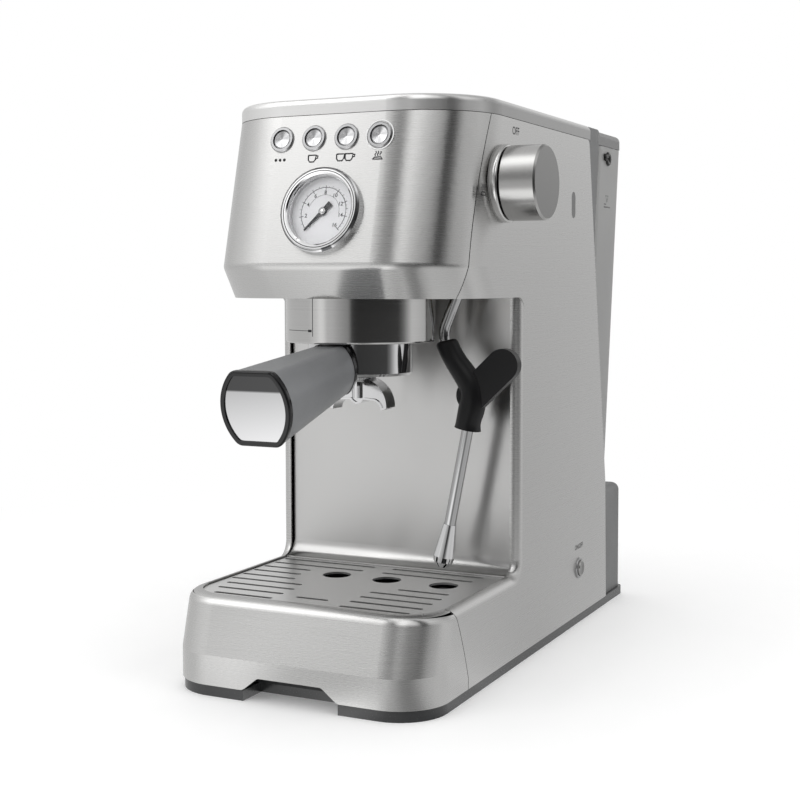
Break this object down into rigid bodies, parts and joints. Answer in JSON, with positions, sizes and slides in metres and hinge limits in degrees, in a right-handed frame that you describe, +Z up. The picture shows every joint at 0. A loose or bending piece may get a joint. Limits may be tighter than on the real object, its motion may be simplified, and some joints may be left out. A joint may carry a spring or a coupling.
{
  "type": "espresso machine",
  "caption": "Pump espresso machine with a pressure gauge, push buttons, bayonet filter holder, ball-jointed steam wand, sliding drip tray and lift-out water tank.",
  "frame": {"origin": "on the standing plane under the middle of the body, in its left-right symmetry plane", "axes": "+Z up, +Y to the back (the water tank), -Y to the user, +X to the user's right (the steam knob)"},
  "size_m": [0.1795, 0.3634, 0.313],
  "materials": {
    "stainless": "brushed stainless sheet",
    "satin_aluminium": "satin",
    "chrome": "polished",
    "basket_steel": "pressed stainless steel",
    "spun_metal": "spun face",
    "black_rubber": "soft silicone",
    "plinth_plastic": "fine texture",
    "grey_plastic": "fine texture",
    "grip_plastic": "soft touch",
    "black_plastic": "smooth",
    "smoke_plastic": "translucent smoke tint",
    "lid_plastic": "smoke tint",
    "clear_lens": "clear",
    "dial_face": "printed dial",
    "needle_paint": "painted",
    "cast_aluminium": "cast",
    "brass": "machined",
    "steel_parts": "zinc plated",
    "board_plastic": "circuit board",
    "hose_silicone": "silicone"
  },
  "bodies": {
    "machine": {"base_plate": "plinth_plastic", "rubber_feet": "black_rubber", "rear_housing": "grey_plastic", "side_panel_right": "stainless", "side_panel_left": "stainless", "head_cover": "stainless", "head_underside": "stainless", "backsplash": "stainless", "top_cover": "stainless", "cup_tray": "stainless", "rear_cover": "grey_plastic", "group_collar": "satin_aluminium", "group_head": "cast_aluminium", "shower_screen": "basket_steel", "group_gasket": "black_rubber", "gauge_case": "chrome", "gauge_dial": "dial_face", "gauge_lens": "clear_lens", "button_rings": "satin_aluminium", "button_board": "board_plastic", "knob_ring": "black_plastic", "steam_valve": "brass", "side_window": "black_plastic", "power_bezel": "black_plastic", "wand_socket": "brass", "tank_dock": "black_plastic", "cord_gland": "black_plastic", "inner_frame": "steel_parts", "thermoblock": "cast_aluminium", "pump": "steel_parts", "pump_mounts": "black_rubber", "solenoid_valve": "brass", "control_board": "board_plastic", "water_hoses": "hose_silicone", "case_screws": "steel_parts"},
    "steam_knob": {"steam_knob": "satin_aluminium", "knob_spindle": "black_plastic"},
    "gauge_needle": {"gauge_needle": "needle_paint"},
    "power_button": {"power_button": "spun_metal"},
    "filter_holder": {"filter_holder": "chrome", "filter_basket": "basket_steel", "handle_grip": "grip_plastic", "handle_rims": "black_plastic", "handle_cap": "chrome", "double_spout": "chrome"},
    "wand_seat": {"wand_seat": "black_plastic"},
    "wand": {"wand_tube": "chrome", "wand_sleeve": "black_rubber", "wand_tip": "chrome"},
    "tray": {"drip_tray": "black_plastic", "tray_front": "stainless"},
    "grille": {"grille": "stainless"},
    "tray_float": {"tray_float": "black_plastic"},
    "tank": {"tank_body": "smoke_plastic", "tank_valve": "black_plastic"},
    "tank_lid": {"tank_lid": "lid_plastic"},
    "button_1": {"button_1": "spun_metal"},
    "button_2": {"button_2": "spun_metal"},
    "button_3": {"button_3": "spun_metal"},
    "button_4": {"button_4": "spun_metal"}
  },
  "joints": [
    {"name": "knob_turn", "type": "hinge", "parent": "machine", "child": "steam_knob", "pos_m": [0.077, -0.068, 0.268], "axis": [1, 0, 0], "range_deg": [0, 135]},
    {"name": "needle_turn", "type": "hinge", "parent": "machine", "child": "gauge_needle", "pos_m": [0, -0.12764, 0.2528], "axis": [0, 0.9695, -0.2451], "range_deg": [0, 270], "stiffness_Nm_per_rad": 0.00005, "springref_deg": -17.19},
    {"name": "button_1_press", "type": "slide", "parent": "machine", "child": "button_1", "axis": [0, 0.9695, -0.2451], "range_m": [0, 0.0012], "stiffness_N_per_m": 300, "springref_m": -0.002},
    {"name": "button_2_press", "type": "slide", "parent": "machine", "child": "button_2", "axis": [0, 0.9695, -0.2451], "range_m": [0, 0.0012], "stiffness_N_per_m": 300, "springref_m": -0.002},
    {"name": "button_3_press", "type": "slide", "parent": "machine", "child": "button_3", "axis": [0, 0.9695, -0.2451], "range_m": [0, 0.0012], "stiffness_N_per_m": 300, "springref_m": -0.002},
    {"name": "button_4_press", "type": "slide", "parent": "machine", "child": "button_4", "axis": [0, 0.9695, -0.2451], "range_m": [0, 0.0012], "stiffness_N_per_m": 300, "springref_m": -0.002},
    {"name": "power_press", "type": "slide", "parent": "machine", "child": "power_button", "axis": [-1, 0, 0], "range_m": [0, 0.002], "stiffness_N_per_m": 300, "springref_m": -0.002},
    {"name": "holder_turn", "type": "hinge", "parent": "machine", "child": "filter_holder", "pos_m": [0, -0.084, 0.19], "axis": [0, 0, -1], "range_deg": [0, 50]},
    {"name": "wand_swing", "type": "hinge", "parent": "machine", "child": "wand_seat", "pos_m": [0.0505, -0.062, 0.213], "axis": [0, 0, 1], "range_deg": [-90, 20]},
    {"name": "wand_tilt", "type": "hinge", "parent": "wand_seat", "child": "wand", "pos_m": [0.0505, -0.062, 0.213], "axis": [0, -1, 0], "range_deg": [0, 30]},
    {"name": "tray_slide", "type": "slide", "parent": "machine", "child": "tray", "axis": [0, -1, 0], "range_m": [0, 0.12]},
    {"name": "grille_lift", "type": "slide", "parent": "tray", "child": "grille", "axis": [0, 0, 1], "range_m": [0, 0.006]},
    {"name": "float_rise", "type": "slide", "parent": "tray", "child": "tray_float", "axis": [0, 0, 1], "range_m": [0, 0.009]},
    {"name": "tank_lift", "type": "slide", "parent": "machine", "child": "tank", "axis": [0, 0.1328, 0.9911], "range_m": [0, 0.24]},
    {"name": "lid_open", "type": "hinge", "parent": "tank", "child": "tank_lid", "pos_m": [0, 0.1051, 0.3095], "axis": [1, 0, 0], "range_deg": [0, 80]}
  ]
}
